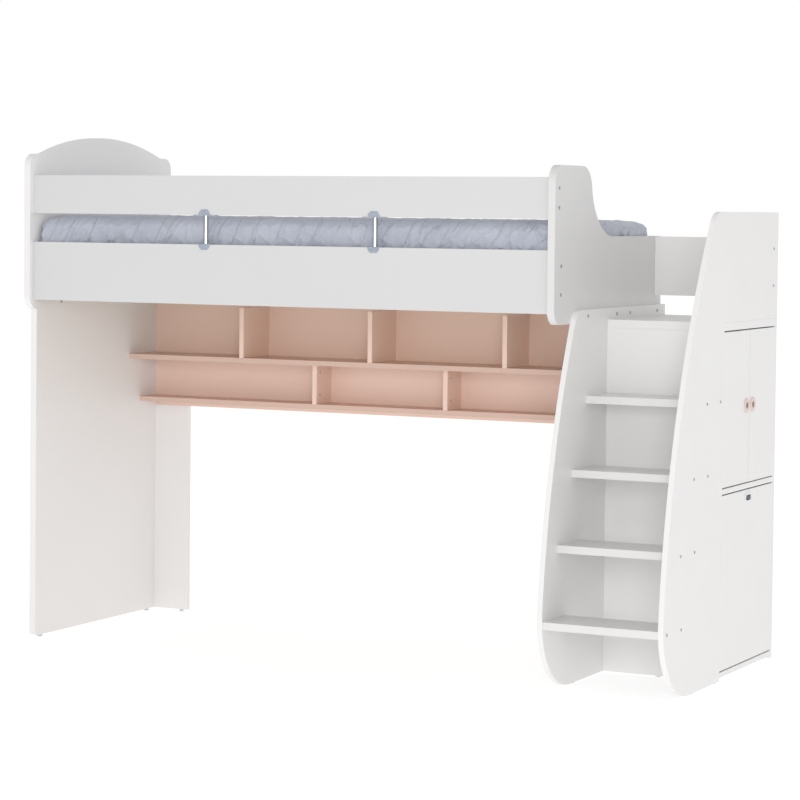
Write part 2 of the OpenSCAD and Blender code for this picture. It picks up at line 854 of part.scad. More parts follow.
module step_panel_bolts() {
  color(steel_c) placed() for (y = step_bolt_ys) {
    bolt_left(step_in, y, step_bolt_z, panel_t + 18, bolt_d, bolt_head_d);
  }
}

module tread_screws() {
  color(steel_c) placed() for (i = [0:3]) for (d = [tread_screw_in, tread_d - tread_screw_in]) {
    bolt_right(step_x, tread_fronts[i] + d, tread_tops[i] - tread_t / 2, 45, screw_d, screw_head_d);
    bolt_left(out_x, tread_fronts[i] + d, tread_tops[i] - tread_t / 2, 45, screw_d, screw_head_d);
  }
}

module shelf_screws() {
  color(steel_c) placed() union() {
    for (p = concat(shelf_spots, return_spots)) {
      bolt_right(-board_t, p[0], p[1], board_t + 25, screw_d, screw_head_d);
    }
    for (p = shelf_spots) bolt_left(step_in, p[0], p[1], panel_t + 25, screw_d, screw_head_d);
  }
}

module divider_cams() {
  color(steel_c) placed() for (i = [0, 1]) for (z = cam_zs) {
    bar_x(lower_div_xs[i] + 7, cam_y, z, panel_t - 7 + 0.5, screw_d);
    bar_x(lower_div_xs[i] + panel_t, cam_y, z, 1.2, screw_head_d);
  }
}

module headboard_cams() {
  color(steel_c) placed() for (y = head_cam_ys) {
    bar_x(-13, y, head_cam_zs, 13.5, screw_d);
    bar_x(0, y, head_cam_zs, 1.5, bolt_head_d);
  }
}

module landing_guard_screws() {
  color(steel_c) placed() for (z = landing_screw_zs) {
    bolt_left(out_x, landing_guard_mid, z, panel_t + 32, screw_d, screw_head_d);
  }
}

module landing_guard_dowels() {
  color(slat_c) placed() for (z = landing_screw_zs) bar_x(step_x - 15, landing_guard_mid, z, 30, 8);
}

// A round glide from the floor up to a panel's underside.
module glide(x, y, h, d) {
  translate([x, y, 0]) cylinder(h = h, d = d);
}

module low_glides() {
  color(grey_c) placed() union() {
    for (x = [step_x + panel_t / 2, tall_x + panel_t / 2]) glide(x, foot_cy + 40, foot_gap, low_glide_d);
    glide(step_x + panel_t / 2, end_back - 60, foot_gap, low_glide_d);
    glide(tall_x + panel_t / 2, joint_y - 40, foot_gap, low_glide_d);
    glide(step_in + step_w / 2, cabinet_y + panel_t / 2, foot_gap, low_glide_d);
    for (x = [step_in + 60, out_x - 60]) glide(x, end_back - panel_t / 2, foot_gap, low_glide_d);
  }
}

module tall_glides() {
  color(grey_c) placed() union() {
    for (y = [leg_front + 50, shelf_y - 40]) glide(-board_t / 2, y, leg_lift, tall_glide_d);
    glide(return_w - 30, leg_y1 - panel_t / 2, leg_lift, low_glide_d);
  }
}

headboard();
footboard();
front_side_rail();
rear_side_rail();
guard_rail();
bracket_tubes();
bracket_plates();
corner_blocks();
slat_battens();
slats();
mattress();
leg_panel();
leg_return_panel();
shelf_back();
upper_shelf();
lower_shelf();
upper_divider(0);  // upper_divider_left
upper_divider(1);  // upper_divider_middle
upper_divider(2);  // upper_divider_right
lower_divider(0);  // lower_divider_left
lower_divider(1);  // lower_divider_right
step_left_panel();
tall_front_board();
upper_rear_board();
tread(0);  // tread_1
tread(1);  // tread_2
tread(2);  // tread_3
tread(3);  // tread_4
landing_board();
landing_guard();
cabinet_front_wall();
cabinet_back();
middle_board();
bottom_board();
inner_shelf();
shelf_pins();
hinge_arms();
door_catches();
upper_front_door();
pull_ring(front_pull_y);  // front_pull_ring
pull_cup(front_pull_y);  // front_pull_cup
front_door_cups();
upper_rear_door();
pull_ring(rear_pull_y);  // rear_pull_ring
pull_cup(rear_pull_y);  // rear_pull_cup
rear_door_cups();
lower_flap();
flap_pull_rim();
flap_pull_cup();
flap_cups();
frame_bolts();
step_panel_bolts();
tread_screws();
shelf_screws();
divider_cams();
headboard_cams();
landing_guard_screws();
landing_guard_dowels();
low_glides();
tall_glides();
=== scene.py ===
import math

import bmesh
import bpy
from mathutils import Matrix, Vector, noise


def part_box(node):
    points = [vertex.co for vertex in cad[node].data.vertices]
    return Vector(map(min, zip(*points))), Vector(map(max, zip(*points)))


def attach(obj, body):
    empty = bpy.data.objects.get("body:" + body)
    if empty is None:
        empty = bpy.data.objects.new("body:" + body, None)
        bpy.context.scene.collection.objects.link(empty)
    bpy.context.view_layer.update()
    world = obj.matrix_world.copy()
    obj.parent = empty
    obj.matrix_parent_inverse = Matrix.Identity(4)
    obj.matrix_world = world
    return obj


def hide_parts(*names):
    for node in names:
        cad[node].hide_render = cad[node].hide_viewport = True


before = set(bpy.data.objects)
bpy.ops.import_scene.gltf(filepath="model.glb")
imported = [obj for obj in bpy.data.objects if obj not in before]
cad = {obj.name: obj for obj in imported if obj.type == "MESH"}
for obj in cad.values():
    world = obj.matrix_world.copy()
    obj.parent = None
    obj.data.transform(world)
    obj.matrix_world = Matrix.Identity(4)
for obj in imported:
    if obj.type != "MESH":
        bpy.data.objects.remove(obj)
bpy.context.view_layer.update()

# ---- White boards -------------------------------------------------------
# Ends, rails, leg, step cabinet and doors are one white melamine-faced board.
# The rails, the footboard and the treads get darker copies of that white,
# which is painted shade. The face has a very fine pebbled press-plate texture;
# every long edge is broken by a small round where the edge band is trimmed.
WHITE_BOARDS = [
    "headboard", "footboard", "front_side_rail", "rear_side_rail", "guard_rail",
    "leg_panel", "leg_return_panel", "step_left_panel", "tall_front_board",
    "upper_rear_board", "tread_1", "tread_2", "tread_3", "tread_4",
    "landing_board", "landing_guard", "cabinet_front_wall", "cabinet_back",
    "middle_board", "bottom_board", "inner_shelf",
    "upper_front_door", "upper_rear_door", "lower_flap",
]
RAIL_BOARDS = ["front_side_rail", "rear_side_rail", "guard_rail"]
TREAD_BOARDS = ["tread_1", "tread_2", "tread_3", "tread_4"]
WHITE = (0.826, 0.816, 0.810)
# Painted shade: the rail, footboard and tread whites are darker copies of WHITE.
RAIL_WHITE_SHADED = (0.652, 0.652, 0.654)
FOOT_WHITE_SHADED = (0.700, 0.694, 0.690)
TREAD_WHITE_SHADED = (0.742, 0.735, 0.730)
WHITE_CLOUD = 0.985  # how dark the clouding is, as a share of the white
EDGE_ROUND = 0.0016


def nodes_of(mat):
    """A material's node tree and its shader."""
    mat.use_nodes = True
    tree = mat.node_tree
    shader = tree.nodes["Principled BSDF"]
    return tree, shader


def mapped(tree, scale=(1, 1, 1)):
    """Object coordinates, in metres, stretched by scale."""
    coord = tree.nodes.new("ShaderNodeTexCoord")
    mapping = tree.nodes.new("ShaderNodeMapping")
    mapping.inputs["Scale"].default_value = scale
    tree.links.new(coord.outputs["Object"], mapping.inputs["Vector"])
    return mapping.outputs["Vector"]


def noise_at(tree, vector, scale, detail=3.0, rough=0.5):
    """Noise from 0 to 1, finer as scale grows."""
    tex = tree.nodes.new("ShaderNodeTexNoise")
    tex.inputs["Scale"].default_value = scale
    tex.inputs["Detail"].default_value = detail
    tex.inputs["Roughness"].default_value = rough
    tree.links.new(vector, tex.inputs["Vector"])
    return tex.outputs["Fac"]


def ramp_of(tree, fac, low, high, start=0.35, end=0.65):
    """A colour that goes from low to high as fac goes from start to end."""
    ramp = tree.nodes.new("ShaderNodeValToRGB")
    ramp.color_ramp.elements[0].position = start
    ramp.color_ramp.elements[0].color = (*low, 1)
    ramp.color_ramp.elements[1].position = end
    ramp.color_ramp.elements[1].color = (*high, 1)
    tree.links.new(fac, ramp.inputs["Fac"])
    return ramp.outputs["Color"]


def range_of(tree, fac, low, high):
    """The middle of fac's range, spread over low to high."""
    span = tree.nodes.new("ShaderNodeMapRange")
    span.inputs["From Min"].default_value = 0.3
    span.inputs["From Max"].default_value = 0.7
    span.inputs["To Min"].default_value = low
    span.inputs["To Max"].default_value = high
    tree.links.new(fac, span.inputs["Value"])
    return span.outputs["Result"]


def bump_into(tree, shader, height, distance, strength, after=None):
    """Bump on a shader, over an earlier bump where one is given."""
    bump = tree.nodes.new("ShaderNodeBump")
    bump.inputs["Distance"].default_value = distance
    bump.inputs["Strength"].default_value = strength
    tree.links.new(height, bump.inputs["Height"])
    if after is not None:
        tree.links.new(after, bump.inputs["Normal"])
    tree.links.new(bump.outputs["Normal"], shader.inputs["Normal"])
    return bump.outputs["Normal"]


def board_finish(name, tint, darkest, rough):
    """Melamine board: faint clouding, fine pebble and slight gloss changes."""
    mat = bpy.data.materials.new(name)
    tree, shader = nodes_of(mat)
    place = mapped(tree)
    shade = tuple(c * darkest for c in tint)
    cloud = noise_at(tree, place, scale=2.2, detail=4.0)
    tree.links.new(ramp_of(tree, cloud, shade, tint), shader.inputs["Base Color"])
    smear = noise_at(tree, place, scale=14.0, detail=5.0, rough=0.6)
    gloss = range_of(tree, smear, rough - 0.05, rough + 0.07)
    tree.links.new(gloss, shader.inputs["Roughness"])
    pebble = noise_at(tree, place, scale=1400.0, detail=2.0)
    wave = noise_at(tree, place, scale=9.0, detail=1.0)
    first = bump_into(tree, shader, wave, distance=0.0006, strength=0.35)
    bump_into(tree, shader, pebble, distance=0.00004, strength=0.5, after=first)
    shader.inputs["IOR"].default_value = 1.48
    return mat


def dress(node, mat):
    """Puts one material on a CAD node."""
    mesh = cad[node].data
    if not mesh.materials:
        mesh.materials.append(mat)
    for i in range(len(mesh.materials)):
        mesh.materials[i] = mat
    for slot in cad[node].material_slots:
        slot.material = mat


def break_edges(node, width):
    """Rounds a board's long edges with live modifiers over the CAD mesh."""
    piece = cad[node]
    weld = piece.modifiers.new("weld", "WELD")
    weld.merge_threshold = 0.00002
    flat = piece.modifiers.new("flat", "DECIMATE")
    flat.decimate_type = "DISSOLVE"
    flat.angle_limit = math.radians(0.3)
    bevel = piece.modifiers.new("edge", "BEVEL")
    bevel.width = width
    bevel.segments = 2
    bevel.limit_method = "ANGLE"
    bevel.angle_limit = math.radians(40)
    bevel.use_clamp_overlap = True
    even = piece.modifiers.new("even", "WEIGHTED_NORMAL")
    even.weight = 100


white_board = board_finish("white melamine", WHITE, WHITE_CLOUD, rough=0.36)
# The rail, tread and footboard finishes carry painted shade: darker copies of the white.
shaded_rail_board = board_finish("rail melamine, painted shade", RAIL_WHITE_SHADED, WHITE_CLOUD, rough=0.34)
shaded_tread_board = board_finish("tread melamine, painted shade", TREAD_WHITE_SHADED, WHITE_CLOUD, rough=0.34)
shaded_foot_board = board_finish("footboard melamine, painted shade", FOOT_WHITE_SHADED, WHITE_CLOUD, rough=0.34)
finish_of = {"footboard": shaded_foot_board}
finish_of.update(dict.fromkeys(RAIL_BOARDS, shaded_rail_board))
finish_of.update(dict.fromkeys(TREAD_BOARDS, shaded_tread_board))
for node in WHITE_BOARDS:
    dress(node, finish_of.get(node, white_board))
    break_edges(node, EDGE_ROUND)

# ---- Shelf unit ---------------------------------------------------------
# The hanging unit is the same board in dusty pink: a back panel and upright
# dividers, and two shelves between the leg and the steps. The shelves get a
# darker copy of the pink and the back and dividers a lighter one: painted
# shade and light on one colour.
PINK_BOARDS = [
    "shelf_back", "upper_shelf", "lower_shelf",
    "upper_divider_left", "upper_divider_middle", "upper_divider_right",
    "lower_divider_left", "lower_divider_right",
]
PINK_SHELVES = ["upper_shelf", "lower_shelf"]
# Painted light and shade: PINK is a lighter copy and the shelves' pink a darker copy of one
# dusty pink.
PINK = (0.87, 0.66, 0.565)
PINK_SHADED = (0.69, 0.50, 0.42)
PINK_CLOUD = 0.975
PINK_EDGE_ROUND = 0.0012

# The two pink finishes are lit and shaded copies of one colour: painted light and shade.
lit_pink_finish = board_finish("lit pink melamine", PINK, PINK_CLOUD, rough=0.42)
shaded_pink_finish = board_finish("shaded pink melamine", PINK_SHADED, PINK_CLOUD, rough=0.42)
for node in PINK_BOARDS:
    dress(node, shaded_pink_finish if node in PINK_SHELVES else lit_pink_finish)
    break_edges(node, PINK_EDGE_ROUND)

# ---- Bed base -----------------------------------------------------------
# Softwood slats lie across two battens between the side rails; a glued block
# stands in each corner. The grain runs along each piece.
PINE = (0.62, 0.44, 0.25)
PINE_DARK = (0.47, 0.30, 0.15)
PINE_ROUND = 0.002


def softwood(name, scale):
    """Planed softwood, its grain stretched along the short scale axis."""
    mat = bpy.data.materials.new(name)
    tree, shader = nodes_of(mat)
    place = mapped(tree, scale)
    grain = noise_at(tree, place, scale=60.0, detail=6.0, rough=0.65)
    streaks = ramp_of(tree, grain, PINE_DARK, PINE, start=0.3, end=0.62)
    tree.links.new(streaks, shader.inputs["Base Color"])
    tree.links.new(range_of(tree, grain, 0.5, 0.62), shader.inputs["Roughness"])
    bump_into(tree, shader, grain, distance=0.0003, strength=0.5)
    return mat


along_y = softwood("softwood across the bed", (1.0, 0.05, 1.0))
along_x = softwood("softwood along the bed", (0.05, 1.0, 1.0))
dress("slats", along_y)
dress("slat_battens", along_x)
dress("corner_blocks", softwood("softwood upright", (1.0, 1.0, 0.05)))
dress("landing_guard_dowels", along_x)
for node in ("slats", "slat_battens", "corner_blocks"):
    break_edges(node, PINE_ROUND)

# ---- Mattress -----------------------------------------------------------
# A foam mattress with soft corners. It is filled by a short cloth run with
# pressure inside, so its faces crown a little between the edges.
MATTRESS_IN = 0.004  # room left for the fill at the sides and on top
MATTRESS_END = 0.001  # at the two ends
MATTRESS_BASE = 0.003  # and underneath
CORNER_ROUND = 0.022
TOP_ROUND = 0.036
BASE_ROUND = 0.012
MATTRESS_VOXEL = 0.018
FILL_PRESSURE = 4
FILL_FRAMES = 20
MATTRESS_CAP = 0.010  # the furthest the fill moves a point
MATTRESS_CALM = 0.20  # near an end it moves less, up to about this far in
END_SHARE = 0.2  # the share of it that is left at the end

low, high = (Vector(c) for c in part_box("mattress"))
deck = low.z
crown_low = low + Vector((MATTRESS_END, MATTRESS_IN, MATTRESS_BASE))
crown_high = high - Vector((MATTRESS_END, MATTRESS_IN, MATTRESS_IN))


def apply_all(piece):
    """Applies every modifier on a piece, in order."""
    bpy.ops.object.select_all(action="DESELECT")
    bpy.context.view_layer.objects.active = piece
    piece.select_set(True)
    for name in [m.name for m in piece.modifiers]:
        bpy.ops.object.modifier_apply(modifier=name)


def box_piece(name, a, b):
    """A closed box from corner a to corner b, with its place in its mesh."""
    bpy.ops.object.select_all(action="DESELECT")
    bpy.ops.mesh.primitive_cube_add(size=1, location=(a + b) / 2)
    piece = bpy.context.object
    piece.name = name
    piece.scale = b - a
    bpy.ops.object.transform_apply(location=True, rotation=True, scale=True)
    return piece


def bevel_edges(piece, width, segments, wanted):
    """Bevels the edges whose two ends satisfy wanted(a, b)."""
    mesh = bmesh.new()
    mesh.from_mesh(piece.data)
    edges = [e for e in mesh.edges if wanted(e.verts[0].co, e.verts[1].co)]
    bmesh.ops.bevel(
        mesh, geom=edges, offset=width, segments=segments, profile=0.5, affect="EDGES")
    mesh.to_mesh(piece.data)
    mesh.free()


mattress = box_piece("mattress_core", crown_low, crown_high)
top_z = crown_high.z
base_z = crown_low.z
bevel_edges(mattress, CORNER_ROUND, 4, lambda a, b: abs(a.z - b.z) > 0.1)
bevel_edges(
    mattress, TOP_ROUND, 5,
    lambda a, b: min(a.z, b.z) > top_z - 1e-4 and (a - b).length > 0.001)
bevel_edges(
    mattress, BASE_ROUND, 3,
    lambda a, b: max(a.z, b.z) < base_z + 1e-4 and (a - b).length > 0.001)
remesh = mattress.modifiers.new("even", "REMESH")
remesh.mode = "VOXEL"
remesh.voxel_size = MATTRESS_VOXEL
apply_all(mattress)
before = [v.co.copy() for v in mattress.data.vertices]
cloth = mattress.modifiers.new("fill", "CLOTH")
cloth.settings.use_pressure = True
cloth.settings.uniform_pressure_force = FILL_PRESSURE
cloth.settings.effector_weights.gravity = 0
for step in range(1, FILL_FRAMES + 1):
    bpy.context.scene.frame_set(step)
apply_all(mattress)
bpy.context.scene.frame_set(1)
for vertex, start in zip(mattress.data.vertices, before):
    move = vertex.co - start
    from_end = min(start.x - low.x, high.x - start.x)
    cap = MATTRESS_CAP * min(1.0, END_SHARE + from_end / MATTRESS_CALM)
    if move.length > cap:
        vertex.co = start + move * (cap / move.length)
    vertex.co.z = min(max(vertex.co.z, deck + 0.001), high.z - 0.002)
    vertex.co.x = min(max(vertex.co.x, low.x), high.x)
    vertex.co.y = min(max(vertex.co.y, low.y + 0.003), high.y - 0.003)
finer = mattress.modifiers.new("finer", "SUBSURF")
finer.levels = 1
finer.render_levels = 1
apply_all(mattress)
bpy.ops.object.shade_smooth()

ticking = bpy.data.materials.new("mattress ticking")
tree, shader = nodes_of(ticking)
place = mapped(tree)
knit = noise_at(tree, place, scale=900.0, detail=2.0)
speckle = ramp_of(tree, knit, (0.62, 0.62, 0.60), (0.74, 0.74, 0.72))
tree.links.new(speckle, shader.inputs["Base Color"])
shader.inputs["Roughness"].default_value = 0.9
bump_into(tree, shader, knit, distance=0.0003, strength=0.6)
mattress.data.materials.append(ticking)
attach(mattress, "frame")

# ---- Fitted sheet -------------------------------------------------------
# Blue-grey cotton pulled over the mattress. Elastic gathers the sides into
# small upright puckers, deepest at the corners, and creases run in from them.
SHEET_LIFT = 0.0016  # how far the cloth lies off the mattress
SHEET_HEM = 0.022
RIDGE = 0.0062  # heights of the puckers on the sides
SMALL_RIDGE = 0.0034
SLANT_CREASE = 0.0055
COUNTER_CREASE = 0.0045
LONG_CREASE = 0.0040  # and of the creases on top
CROSS_CREASE = 0.0030
SIDE_TAUT = 0.0012  # how far the cloth between them is pulled in
TOP_TAUT = 0.0008
MOST_TAUT = 0.0009
END_BULGE = 0.006  # the furthest the cloth stands past the mattress
SIDE_BULGE = 0.004
SHEET_BLUE = (0.50, 0.525, 0.60)
SHEET_SHADE = (0.44, 0.465, 0.54)


def pucker(point, out):
    """How far the sheet stands off the mattress at a point, in metres."""
    around = point.x if abs(out.y) > abs(out.x) else point.y
    height = (point.z - deck) / (high.z - deck)
    side = 1.0 - abs(out.z)
    lean = 2.6 * noise.noise(Vector((around * 3.1, 5.0, 5.0))) * (1.0 - height)
    ridge = 1.0 - abs(noise.noise(Vector((around * 15.0 + lean, height * 1.1, 3.0))))
    small = 1.0 - abs(noise.noise(Vector((around * 34.0 - 2.0 * lean, height * 2.0, 6.0))))
    near = math.exp(-min(point.x - low.x, high.x - point.x) / 0.15)
    slant = 1.0 - abs(noise.noise(Vector((around * 8.0 + height * 2.6, height * 0.7, 9.0))))
    counter = 1.0 - abs(noise.noise(Vector((around * 10.0 - height * 3.4, height * 0.9, 12.0))))
    folds = RIDGE * ridge ** 9 + SMALL_RIDGE * small ** 8
    folds += SLANT_CREASE * slant ** 12
    folds += COUNTER_CREASE * counter ** 14
    wall = (1.0 + 0.8 * near) * folds
    long = 1.0 - abs(noise.noise(Vector((point.x * 3.2, point.y * 13.0, 8.0))))
    skew = point.x * 12.0 + point.y * 5.0
    cross = 1.0 - abs(noise.noise(Vector((skew, point.y * 4.0, 2.0))))
    flat = LONG_CREASE * long ** 6 + CROSS_CREASE * cross ** 8
    return side * (wall - SIDE_TAUT) + abs(out.z) * (flat - TOP_TAUT)


bpy.ops.object.select_all(action="DESELECT")
sheet = mattress.copy()
sheet.data = mattress.data.copy()
sheet.name = "fitted_sheet"
bpy.context.collection.objects.link(sheet)
for key in [k for k in sheet.keys() if k.startswith("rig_")]:
    del sheet[key]
sheet.parent = None
sheet.matrix_world = Matrix.Identity(4)
mesh = bmesh.new()
mesh.from_mesh(sheet.data)
under = [f for f in mesh.faces if f.calc_center_median().z < deck + SHEET_HEM]
bmesh.ops.delete(mesh, geom=under, context="FACES")
mesh.normal_update()
steep = {e for f in mesh.faces if abs(f.normal.z) < 0.8 for e in f.edges}
bmesh.ops.subdivide_edges(mesh, edges=list(steep), cuts=1, use_grid_fill=True)
mesh.normal_update()
moves = []
for vertex in mesh.verts:
    out = vertex.normal.copy()
    stand = SHEET_LIFT + max(-MOST_TAUT, pucker(vertex.co, out))
    moves.append((vertex, out * stand))
for vertex, move in moves:
    vertex.co += move
    vertex.co.x = min(max(vertex.co.x, low.x - END_BULGE), high.x + END_BULGE)
    vertex.co.y = min(max(vertex.co.y, low.y - SIDE_BULGE), high.y + SIDE_BULGE)
mesh.to_mesh(sheet.data)
mesh.free()
sheet.data.materials.clear()
bpy.context.view_layer.objects.active = sheet
sheet.select_set(True)
bpy.ops.object.shade_smooth()

cotton = bpy.data.materials.new("blue grey cotton")
tree, shader = nodes_of(cotton)
place = mapped(tree)
cloud = noise_at(tree, place, scale=5.0, detail=4.0)
tree.links.new(ramp_of(tree, cloud, SHEET_SHADE, SHEET_BLUE), shader.inputs["Base Color"])
shader.inputs["Roughness"].default_value = 0.86
shader.inputs["Sheen Weight"].default_value = 0.22
shader.inputs["Sheen Roughness"].default_value = 0.45
weave = []
for direction in ("X", "DIAGONAL"):
    thread = tree.nodes.new("ShaderNodeTexWave")
    thread.bands_direction = direction
    thread.inputs["Scale"].default_value = 420.0
    tree.links.new(place, thread.inputs["Vector"])
    weave.append(thread.outputs["Fac"])
slanted = mapped(tree)
slanted.node.inputs["Rotation"].default_value = (0.0, 0.5, 0.35)
slanted.node.vector_type = "TEXTURE"
slanted.node.inputs["Scale"].default_value = (1.0, 3.0, 4.5)
fold = noise_at(tree, slanted, scale=13.0, detail=2.0)
centre = tree.nodes.new("ShaderNodeMath")
centre.operation = "SUBTRACT"
centre.inputs[1].default_value = 0.5
tree.links.new(fold, centre.inputs[0])
crease = tree.nodes.new("ShaderNodeMath")
crease.operation = "ABSOLUTE"
tree.links.new(centre.outputs["Value"], crease.inputs[0])
sharp = tree.nodes.new("ShaderNodeMapRange")
sharp.interpolation_type = "SMOOTHSTEP"
sharp.inputs["From Min"].default_value = 0.0
sharp.inputs["From Max"].default_value = 0.035
sharp.inputs["To Min"].default_value = 1.0
sharp.inputs["To Max"].default_value = 0.0
tree.links.new(crease.outputs["Value"], sharp.inputs["Value"])
relief = bump_into(tree, shader, sharp.outputs["Result"], distance=0.004, strength=0.7)
crinkle = noise_at(tree, place, scale=55.0, detail=6.0, rough=0.6)
relief = bump_into(tree, shader, crinkle, distance=0.0011, strength=0.55, after=relief)
for thread in weave:
    relief = bump_into(tree, shader, thread, distance=0.00012, strength=0.5, after=relief)
sheet.data.materials.append(cotton)
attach(sheet, "frame")
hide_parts("mattress")

# ---- Guard brackets -----------------------------------------------------
# Two chromed tubes hold the guard above the side rail. Each ends in a thin
# steel plate with a half-round tab folded over the board's front face.
TUBE_ROUND = 0.0006
PLATE_ROUND = 0.0005

chrome = bpy.data.materials.new("polished chrome")
tree, shader = nodes_of(chrome)
place = mapped(tree)
film = noise_at(tree, place, scale=40.0, detail=4.0)
# Painted reflection: the colour runs from near white face-on to dark blue-grey at grazing
# angles, standing in for dark surroundings seen in the chrome.
rim = tree.nodes.new("ShaderNodeLayerWeight")
rim.inputs["Blend"].default_value = 0.5
turned = ramp_of(
    tree, rim.outputs["Facing"], (0.95, 0.95, 0.96), (0.14, 0.17, 0.24),
    start=0.10, end=0.42)
shine = tree.nodes.new("ShaderNodeMix")
shine.data_type = "RGBA"
shine.blend_type = "MULTIPLY"
shine.inputs["Factor"].default_value = 1.0
tree.links.new(turned, shine.inputs["A"])
haze = ramp_of(tree, film, (0.93, 0.94, 0.95), (1.0, 1.0, 1.0))
tree.links.new(haze, shine.inputs["B"])
tree.links.new(shine.outputs["Result"], shader.inputs["Base Color"])
tree.links.new(range_of(tree, film, 0.06, 0.13), shader.inputs["Roughness"])
shader.inputs["Metallic"].default_value = 1.0
dress("bracket_tubes", chrome)
break_edges("bracket_tubes", TUBE_ROUND)

plated = bpy.data.materials.new("grey plated steel")
tree, shader = nodes_of(plated)
place = mapped(tree)
grain = noise_at(tree, mapped(tree, (0.15, 1.0, 1.0)), scale=900.0)
cloud = noise_at(tree, place, scale=60.0, detail=4.0)
blotches = ramp_of(tree, cloud, (0.36, 0.41, 0.49), (0.44, 0.49, 0.57))
tree.links.new(blotches, shader.inputs["Base Color"])
tree.links.new(range_of(tree, grain, 0.3, 0.42), shader.inputs["Roughness"])
shader.inputs["Metallic"].default_value = 0.75
bump_into(tree, shader, grain, distance=0.00003, strength=0.5)
dress("bracket_plates", plated)
break_edges("bracket_plates", PLATE_ROUND)

# ---- Bolts, screws and cam locks ----------------------------------------
# Zinc-plated heads with a hexagon socket sit on the boards; the cam locks
# have a cross slot. Each head and its plain shank are turned from one bar.
HEAD_ROUND = 0.42  # shares of the head's height
SOCKET_DEPTH = 1.4
HEX_RADIUS = 0.48  # shares of the head's radius
SLOT_LENGTH = 1.25
SLOT_WIDTH = 0.22
SHANK_FIT = 0.98  # a shade slimmer than the bar that it replaces
HINGE_ROUND = 0.0004

zinc = bpy.data.materials.new("zinc plated steel")
tree, shader = nodes_of(zinc)
place = mapped(tree)
swirl = noise_at(tree, place, scale=700.0)
cloud = noise_at(tree, place, scale=120.0, detail=4.0)
spangle = ramp_of(tree, cloud, (0.40, 0.41, 0.44), (0.56, 0.57, 0.60))
tree.links.new(spangle, shader.inputs["Base Color"])
tree.links.new(range_of(tree, swirl, 0.26, 0.4), shader.inputs["Roughness"])
shader.inputs["Metallic"].default_value = 0.9
bump_into(tree, shader, swirl, distance=0.00003, strength=0.6)


def solids(node):
    """The point sets of a CAD node's separate solids."""
    mesh = cad[node].data
    root = {}

    def find(k):
        while root[k] != k:
            root[k] = root[root[k]]
            k = root[k]
        return k

    keys = [tuple(round(c, 5) for c in v.co) for v in mesh.vertices]
    for key in keys:
        root.setdefault(key, key)
    for face in mesh.polygons:
        ring = [keys[i] for i in face.vertices]
        for other in ring[1:]:
            root[find(other)] = find(ring[0])
    groups = {}
    for key in root:
        groups.setdefault(find(key), []).append(Vector(key))
    return sorted(
        groups.values(),
        key=lambda g: tuple(round(c, 3) for c in sum(g, Vector()) / len(g)))


def turned_head(name, radius, height, shank, length, socket):
    """A head facing +X from x = 0, with its shank behind it and a socket."""
    bpy.ops.object.select_all(action="DESELECT")
    bpy.ops.mesh.primitive_cylinder_add(
        vertices=40, radius=radius, depth=height, location=(height / 2, 0, 0),
        rotation=(0, math.pi / 2, 0))
    head = bpy.context.object
    head.name = name
    bpy.ops.object.transform_apply(location=True, rotation=True, scale=True)
    edge = head.modifiers.new("edge", "BEVEL")
    edge.width = height * HEAD_ROUND
    edge.segments = 3
    edge.limit_method = "ANGLE"
    apply_all(head)
    for turn in [0.0] if socket == "hex" else [0.0, math.pi / 2]:
        bpy.ops.object.select_all(action="DESELECT")
        if socket == "hex":
            bpy.ops.mesh.primitive_cylinder_add(
                vertices=6, radius=radius * HEX_RADIUS, depth=height * SOCKET_DEPTH,
                location=(height, 0, 0), rotation=(0, math.pi / 2, 0))
        else:
            bpy.ops.mesh.primitive_cube_add(
                size=1, location=(height, 0, 0), rotation=(turn, 0, 0))
            bpy.context.object.scale = (height, radius * SLOT_LENGTH, radius * SLOT_WIDTH)
        tool = bpy.context.object
        bpy.ops.object.transform_apply(location=True, rotation=True, scale=True)
        cut_out = head.modifiers.new("socket", "BOOLEAN")
        cut_out.operation = "DIFFERENCE"
        cut_out.solver = "EXACT"
        cut_out.object = tool
        apply_all(head)
        bpy.data.objects.remove(tool, do_unlink=True)
    bpy.ops.object.select_all(action="DESELECT")
    bpy.ops.mesh.primitive_cylinder_add(
        vertices=20, radius=shank, depth=length, location=(-length / 2, 0, 0),
        rotation=(0, math.pi / 2, 0))
    bpy.ops.object.transform_apply(location=True, rotation=True, scale=True)
    head.select_set(True)
    bpy.context.view_layer.objects.active = head
    bpy.ops.object.join()
    return bpy.context.object


def set_heads(node, name, socket):
    """Replaces a CAD group of bars along X by turned heads in the same places."""
    made = []
    for points in solids(node):
        xs = [p.x for p in points]
        mid = (max(p.y for p in points) + min(p.y for p in points)) / 2
        tall = (max(p.z for p in points) + min(p.z for p in points)) / 2

        def reach(x):
            """The radius of the bar at x."""
            return max(
                math.hypot(p.y - mid, p.z - tall) for p in points if abs(p.x - x) < 1e-4)

        out = 1 if reach(max(xs)) > reach(min(xs)) else -1
        face = max(xs) if out > 0 else min(xs)
        rim_at = 0.9 * reach(face)
        wide = [p.x for p in points if math.hypot(p.y - mid, p.z - tall) > rim_at]
        seat = min(wide) if out > 0 else max(wide)
        shank = reach(min(xs) if out > 0 else max(xs))
        height = abs(face - seat)
        length = (max(xs) - min(xs)) - height
        piece = turned_head(name, reach(face), height, shank * SHANK_FIT, length, socket)
        turn = Matrix.Rotation(0 if out > 0 else math.pi, 4, "Z")
        piece.data.transform(Matrix.Translation((seat, mid, tall)) @ turn)
        made.append(piece)
    bpy.ops.object.select_all(action="DESELECT")
    for piece in made:
        piece.select_set(True)
    bpy.context.view_layer.objects.active = made[0]
    bpy.ops.object.join()
    whole = bpy.context.object
    whole.name = name
    whole.data.materials.clear()
    whole.data.materials.append(zinc)
    bpy.ops.object.shade_smooth_by_angle(angle=math.radians(35))
    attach(whole, "frame")
    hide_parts(node)


